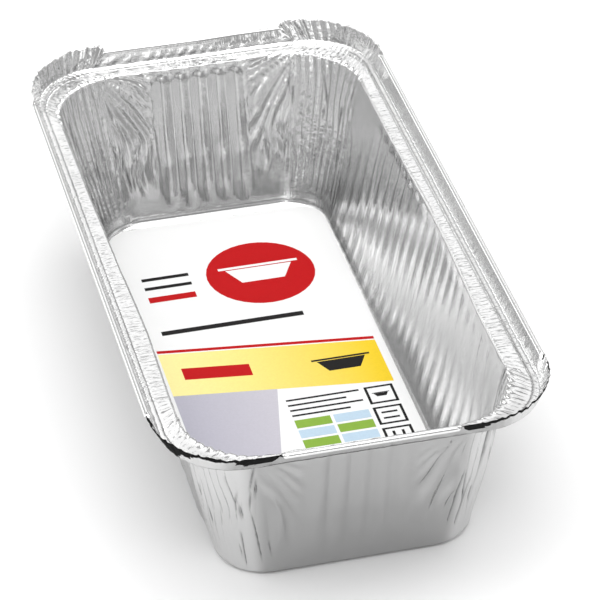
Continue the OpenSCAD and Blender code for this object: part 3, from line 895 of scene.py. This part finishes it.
class Nodes:
    """A material's nodes, made and linked by short calls."""

    def __init__(self, name):
        self.material = bpy.data.materials.new(name)
        self.material.use_nodes = True
        self.tree = self.material.node_tree
        self.tree.nodes.clear()
        self.shader = self.add("ShaderNodeBsdfPrincipled")
        output = self.add("ShaderNodeOutputMaterial")
        self.link(self.shader.outputs[0], output.inputs[0])

    @classmethod
    def of_world(cls, world):
        """The nodes of the surrounding, with its background as the shader."""
        m = cls.__new__(cls)
        world.use_nodes = True
        m.tree = world.node_tree
        m.tree.nodes.clear()
        m.shader = m.add("ShaderNodeBackground")
        m.link(m.shader.outputs[0], m.add("ShaderNodeOutputWorld").inputs[0])
        return m

    def add(self, kind, **settings):
        node = self.tree.nodes.new(kind)
        for key, value in settings.items():
            setattr(node, key, value)
        return node

    def link(self, a, b):
        self.tree.links.new(a, b)

    def set(self, node, **values):
        """Values of a node's sockets, with _ for each space in their names."""
        for key, value in values.items():
            node.inputs[key.replace("_", " ")].default_value = value

    def math(self, operation, *values):
        node = self.add("ShaderNodeMath", operation=operation)
        for socket, value in zip(node.inputs, values):
            if isinstance(value, (int, float)):
                socket.default_value = value
            else:
                self.link(value, socket)
        return node.outputs[0]

    def times(self, a, b):
        return self.math("MULTIPLY", a, b)

    def attribute(self, name):
        return self.add("ShaderNodeAttribute", attribute_name=name).outputs["Fac"]

    def place(self):
        """Place in the object's own space."""
        return self.add("ShaderNodeTexCoord").outputs["Object"]

    def on_sheet(self, x_scale, y_scale):
        """Place on the sheet, with a scale of its own in each direction."""
        node = self.add("ShaderNodeCombineXYZ")
        self.link(self.times(self.attribute("around"), x_scale), node.inputs["X"])
        self.link(self.times(self.attribute("along"), y_scale), node.inputs["Y"])
        return node.outputs[0]

    def noise(self, vector, scale, detail):
        node = self.add("ShaderNodeTexNoise")
        self.set(node, Scale=scale, Detail=detail)
        self.link(vector, node.inputs["Vector"])
        return node.outputs["Fac"]

    def scaled(self, value, low, high):
        """The range from 0 to 1 spread from low to high."""
        node = self.add("ShaderNodeMapRange")
        self.link(value, node.inputs["Value"])
        self.set(node, To_Min=low, To_Max=high)
        return node.outputs["Result"]

    def mix(self, share, *colours):
        """Colour between two colours, each given or linked."""
        node = self.add("ShaderNodeMix", data_type="RGBA")
        self.link(share, node.inputs["Factor"])
        for name, colour in zip("AB", colours):
            if isinstance(colour, tuple):
                node.inputs[name].default_value = (*colour, 1)
            else:
                self.link(colour, node.inputs[name])
        return node.outputs["Result"]

    def bump(self, height, distance, strength, before=None):
        """Normal of a bump, on top of the one before it."""
        node = self.add("ShaderNodeBump")
        self.set(node, Strength=strength, Distance=distance)
        self.link(height, node.inputs["Height"])
        if before is not None:
            self.link(before, node.inputs["Normal"])
        return node.outputs["Normal"]

    def grain(self, scale, detail, height, strength, before=None):
        """Normal of an even grain all over the object."""
        return self.bump(self.noise(self.place(), scale, detail), height, strength, before)

    def finish(self, tint, roughness, specular):
        """Even colour, roughness and specular level."""
        self.set(self.shader, Base_Color=(*tint, 1), Roughness=roughness, Specular_IOR_Level=specular)


def foil_normal(m, dull, gathered):
    """Drawn lines up the walls, radial wrinkles on the ledge, a soft grain, crumples in loose places."""
    gathers = m.times(m.times(gathered, dull), DRAWN_GATHERED)
    strong = m.times(m.attribute("brushed"), m.scaled(dull, 1.0, DRAWN_DULL))
    drawn = m.times(m.noise(m.on_sheet(*DRAWN_SCALES), 1.0, 4.0), m.math("MAXIMUM", strong, gathers))
    ledge = m.attribute("ledge")
    radial = m.times(m.noise(m.on_sheet(*RADIAL_SCALES), 1.0, 1.5), ledge)
    loose = m.scaled(m.math("MAXIMUM", ledge, gathered), CRUMPLED_LEAST, 1.0)
    crumpled = m.times(m.noise(m.place(), CRUMPLED_SCALE, 2.0), loose)
    normal = m.bump(radial, *RADIAL_BUMP, m.bump(drawn, *DRAWN_BUMP))
    return m.bump(crumpled, *CRUMPLED_BUMP, m.grain(*SOFT_GRAIN, normal))


def foil_material():
    """Rolled foil with a bright inner and a dull outer skin, with painted shade in its tints."""
    m = Nodes("foil")
    m.set(m.shader, Metallic=1.0)
    dull, gathered = m.attribute("dull"), m.attribute("gathered")
    m.link(foil_normal(m, dull, gathered), m.shader.inputs["Normal"])
    bright_rough = m.scaled(m.noise(m.place(), ROUGH_SCALE, 2.0), *BRIGHT_ROUGH)
    m.link(m.math("ADD", bright_rough, m.scaled(dull, 0.0, DULL_ROUGH)), m.shader.inputs["Roughness"])
    # Tints: painted shade on the inner skin, a dull outer skin that is partly painted shade, and painted
    # shade in the creases
    inside = m.mix(m.attribute("pressed"), BRIGHT_TINT, PAINTED_SHADE_TINT)
    outside = m.mix(gathered, DULL_AND_SHADE_TINT, GATHERED_TINT)
    creased = m.times(m.attribute("creased"), CREASE_SHADE_SHARE)
    m.link(m.mix(creased, m.mix(dull, inside, outside), CREASE_SHADE_TINT), m.shader.inputs["Base Color"])
    return m.material


def edge_shade_material():
    """Near-black painted shade along the foil's cut edge."""
    m = Nodes("foil_edge_shade")
    m.finish(*EDGE_SHADE_FINISH)
    m.link(m.grain(*EDGE_GRAIN), m.shader.inputs["Normal"])
    return m.material


def card_material():
    """Smooth coated card with a faint grain."""
    m = Nodes("card")
    m.finish(*CARD_FINISH)
    m.link(m.grain(*PAPER_GRAIN), m.shader.inputs["Normal"])
    return m.material


def ink_material(name, left, right):
    """Slightly specked ink in one colour, or changing across the card from a left to a right colour."""
    m = Nodes(name)
    m.finish(left, *INK_FINISH)
    m.link(m.grain(*PAPER_GRAIN), m.shader.inputs["Normal"])
    split = m.add("ShaderNodeSeparateXYZ")
    m.link(m.place(), split.inputs[0])
    across = m.add("ShaderNodeMapRange")
    m.link(split.outputs["X"], across.inputs["Value"])
    m.set(across, From_Min=-INK_SPAN, From_Max=INK_SPAN)
    specked = m.add("ShaderNodeVectorMath", operation="SCALE")
    m.link(m.mix(across.outputs["Result"], left, right or left), specked.inputs[0])
    m.link(m.scaled(m.noise(m.place(), 1500.0, 2.0), *INK_SPECKS), specked.inputs["Scale"])
    m.link(specked.outputs[0], m.shader.inputs["Base Color"])
    return m.material


def dress_nodes(frame):
    """Materials of the card and its print. The foil doesn't mirror them, as the photo's foil is grey."""
    for name, node in frame["nodes"].items():
        if name == "foil_tray":
            continue
        material = card_material() if name == "label_card" else ink_material(name, *INKS[name])
        node.data.materials.clear()
        node.data.materials.append(material)
        node.visible_glossy = False


def build_floor():
    """A plain pale floor."""
    corners = [(x * FLOOR_HALF, y * FLOOR_HALF, 0) for x, y in ((-1, -1), (1, -1), (1, 1), (-1, 1))]
    floor = new_object("floor", corners, [(0, 1, 2, 3)])
    m = Nodes("floor")
    m.set(m.shader, Base_Color=(*FLOOR_TINT, 1))
    m.link(m.scaled(m.noise(m.place(), 40.0, 2.0), *FLOOR_ROUGH), m.shader.inputs["Roughness"])
    floor.data.materials.append(m.material)


def sky_patch(m, direction, azimuth, elevation, half_w, half_h):
    """Soft-edged patch: 1 inside and 0 outside. Angles in degrees, azimuth from +Y to +X."""
    x, y, z = direction
    a = math.radians(azimuth)
    level = m.math("SQRT", m.math("ADD", m.times(x, x), m.times(y, y)))
    along = m.math("ADD", m.times(x, math.sin(a)), m.times(y, math.cos(a)))
    turn = m.math("ARCCOSINE", m.math("DIVIDE", along, m.math("MAXIMUM", level, 0.001)))
    rise = m.math("ABSOLUTE", m.math("SUBTRACT", m.math("ARCSINE", z), math.radians(elevation)))
    shares = []
    for angle, half in ((turn, half_w), (rise, half_h)):
        edge = m.add("ShaderNodeMapRange", interpolation_type="SMOOTHSTEP")
        m.link(angle, edge.inputs["Value"])
        soft = min(PATCH_SOFT, half)
        m.set(edge, From_Min=math.radians(half - soft), From_Max=math.radians(half + soft))
        m.set(edge, To_Min=1.0, To_Max=0.0)
        shares.append(edge.outputs["Result"])
    return m.times(*shares)


def build_light():
    """A pale surrounding with soft-edged brighter patches, as of soft boxes round the table."""
    world = bpy.data.worlds.new("surrounding")
    bpy.context.scene.world = world
    m = Nodes.of_world(world)
    split = m.add("ShaderNodeSeparateXYZ")
    m.link(m.add("ShaderNodeTexCoord").outputs["Generated"], split.inputs[0])
    total = SKY_LEVEL
    for *patch, strength in SKY_PATCHES:
        total = m.math("ADD", m.times(sky_patch(m, split.outputs, *patch), strength), total)
    m.link(total, m.shader.inputs["Strength"])


def build_camera():
    """The camera of the photograph, from its direction, its roll and the place of the rim in its axes."""
    az, el, roll = (math.radians(a) for a in (VIEW_AZ, VIEW_EL, VIEW_ROLL))
    away = Vector((math.sin(az) * math.cos(el), math.cos(az) * math.cos(el), -math.sin(el)))
    level = Vector((math.cos(az), -math.sin(az), 0))
    upright = level.cross(away)
    right = math.cos(roll) * level + math.sin(roll) * upright
    up = -math.sin(roll) * level + math.cos(roll) * upright
    rim = Vector((0, 0, TRAY_H))
    place = rim - RIM_RIGHT * right - RIM_UP * up - RIM_AWAY * away
    data = bpy.data.cameras.new("camera")
    data.sensor_width = SENSOR_W
    data.lens = SENSOR_W * FOCAL_PX / FRAME_PX
    data.clip_start = 0.05
    data.clip_end = 20
    camera = bpy.data.objects.new("camera", data)
    turn = Matrix((right, up, -away)).transposed()
    camera.matrix_world = Matrix.Translation(place * MM) @ turn.to_4x4()
    bpy.context.scene.collection.objects.link(camera)
    bpy.context.scene.camera = camera


def main():
    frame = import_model()
    build_camera()
    low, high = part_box("foil_tray")
    # The folds stand out a little past the tray's half sizes, which are whole millimetres
    half_w, half_l = math.floor(high.x / MM), math.floor(high.y / MM)
    tray = build_tray(half_w, half_l, np.array(low) / MM, np.array(high) / MM)
    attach(tray, "root")
    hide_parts("foil_tray")
    dress_nodes(frame)
    build_floor()
    build_light()
    bpy.context.scene.view_settings.view_transform = "Standard"


main()
